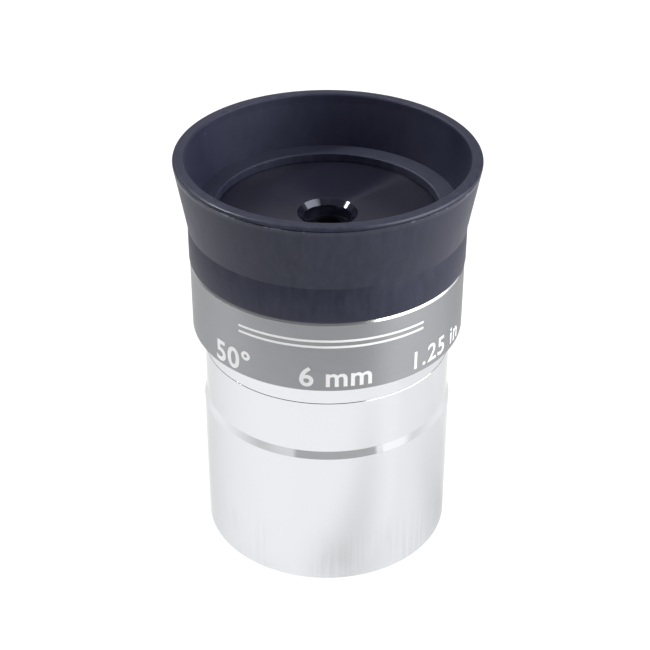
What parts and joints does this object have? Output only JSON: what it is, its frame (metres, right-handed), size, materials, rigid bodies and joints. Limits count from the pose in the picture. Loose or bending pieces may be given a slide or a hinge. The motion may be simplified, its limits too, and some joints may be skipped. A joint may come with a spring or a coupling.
{
  "type": "telescope eyepiece",
  "caption": "Short focal length telescope eyepiece with a chromed slip-in barrel, a grey band and a flared rubber eyecup around a small countersunk eye hole.",
  "frame": {"origin": "centre of the barrel's lower end, on the plane it stands on", "axes": "+Z along the optical axis, from the field side towards the observer's eye; the band's marking faces -Y"},
  "size_m": [0.037, 0.037, 0.053],
  "materials": {
    "barrel_chrome": "bright plated, polished",
    "body_chrome": "bright plated, polished",
    "band_grey": "grey anodised, fine turned satin",
    "black_anodised": "black anodised, semi-matt",
    "coated_glass": "polished, coated",
    "eyecup_rubber": "moulded, matt with a slight sheen"
  },
  "bodies": {
    "barrel": {"barrel": "barrel_chrome"},
    "lens_stack": {"eye_lens_flint": "coated_glass", "eye_lens_crown": "coated_glass", "lens_spacer": "black_anodised", "field_lens_crown": "coated_glass", "field_lens_flint": "coated_glass"},
    "upper_body": {"upper_body": "body_chrome", "name_band": "band_grey", "eye_end_cap": "black_anodised", "lens_cell": "black_anodised", "cell_locking_ring": "black_anodised", "lens_retaining_ring": "black_anodised", "field_stop": "black_anodised"},
    "eyecup": {"eyecup_skirt": "eyecup_rubber", "eyecup_flare": "eyecup_rubber"},
    "eyecup_rim": {"eyecup_rim": "eyecup_rubber"}
  },
  "joints": [
    {"name": "body_lift", "type": "slide", "parent": "barrel", "child": "lens_stack", "axis": [0, 0, 1], "range_m": [0, 0.0038]},
    {"name": "body_turn", "type": "hinge", "parent": "lens_stack", "child": "upper_body", "pos_m": [0, 0, 0.0254], "axis": [0, 0, 1], "range_deg": [0, 1800]},
    {"name": "eyecup_pull", "type": "slide", "parent": "upper_body", "child": "eyecup", "axis": [0, 0, 1], "range_m": [0, 0.01]},
    {"name": "eyecup_fold", "type": "slide", "parent": "eyecup", "child": "eyecup_rim", "axis": [0, 0, -1], "range_m": [0, 0.006], "stiffness_N_per_m": 150, "deforming": ["eyecup_flare"]}
  ],
  "couplings": [
    {"joint": "body_lift", "follows": "body_turn", "m_per_rad": 0.00011937}
  ]
}
